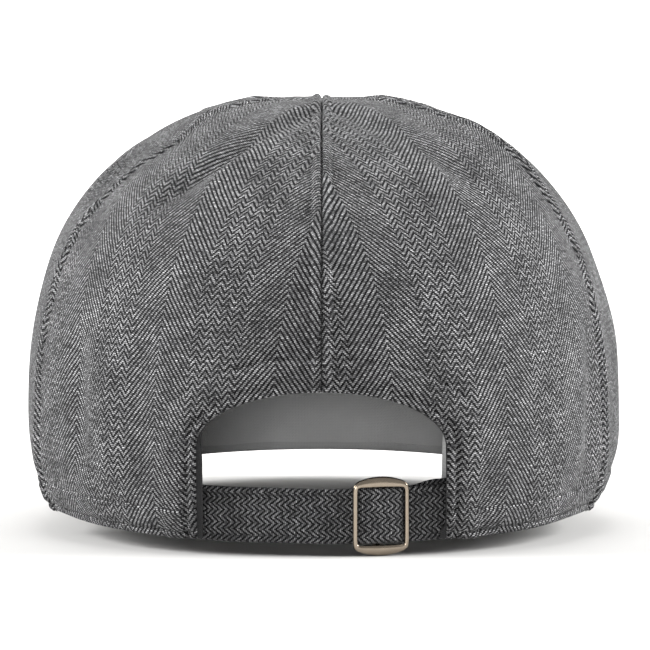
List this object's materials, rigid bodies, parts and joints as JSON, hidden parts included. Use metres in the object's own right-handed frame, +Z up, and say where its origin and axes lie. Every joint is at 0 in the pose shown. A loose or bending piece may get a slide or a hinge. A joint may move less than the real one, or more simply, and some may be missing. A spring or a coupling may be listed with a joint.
{
  "type": "cloth strapback cap",
  "caption": "Soft panelled tweed cap with a curved visor, a rear opening and a cloth strap that runs through a metal slide buckle.",
  "frame": {"origin": "centre of the head opening, in the plane of the crown's rim", "axes": "+Z up through the crown, +Y towards the rear opening, -Y towards the visor, +X to the wearer's left; the rim plane is tipped about X so that the buckle and the visor's two edges stand on one level"},
  "size_m": [0.176, 0.2736, 0.1286],
  "materials": {
    "tweed": "charcoal and grey herringbone wool tweed",
    "strap_tweed": "the same tweed, folded and topstitched",
    "tape": "black woven tape",
    "buckram": "grey stiffened mesh",
    "sweatband": "smooth grey twill with a black hem",
    "foam": "soft foam",
    "visor_board": "moulded board",
    "button_metal": "plain pressed metal",
    "buckle_metal": "pale brushed nickel over brass"
  },
  "bodies": {
    "cap": {"back_panel_left": "tweed", "back_panel_right": "tweed", "side_panel_left": "tweed", "side_panel_right": "tweed", "front_panel_left": "tweed", "front_panel_right": "tweed", "seam_tape_back": "tape", "seam_tape_back_left": "tape", "seam_tape_back_right": "tape", "seam_tape_front_left": "tape", "seam_tape_front_right": "tape", "seam_tape_front": "tape", "opening_binding": "tape", "front_buckram_left": "buckram", "front_buckram_right": "buckram", "sweatband": "sweatband", "sweatband_padding": "foam", "visor_top_cloth": "tweed", "visor_bottom_cloth": "tweed", "visor_board": "visor_board", "button_cover": "tweed", "button_shell": "button_metal", "button_post": "button_metal", "adjustment_strap": "strap_tweed"},
    "strap_loop": {"buckle_loop": "strap_tweed"},
    "buckle": {"slide_buckle": "buckle_metal"}
  },
  "joints": [
    {"name": "strap_adjust", "type": "hinge", "parent": "cap", "child": "strap_loop", "pos_m": [0, 0.0244, 0.00632], "axis": [0, -0.057, -0.9984], "range_deg": [-4.6, 22]},
    {"name": "buckle_rock", "type": "hinge", "parent": "strap_loop", "child": "buckle", "pos_m": [-0.01528, 0.09265, 0.00242], "axis": [0, 0.057, 0.9984], "range_deg": [-6, 6]}
  ]
}
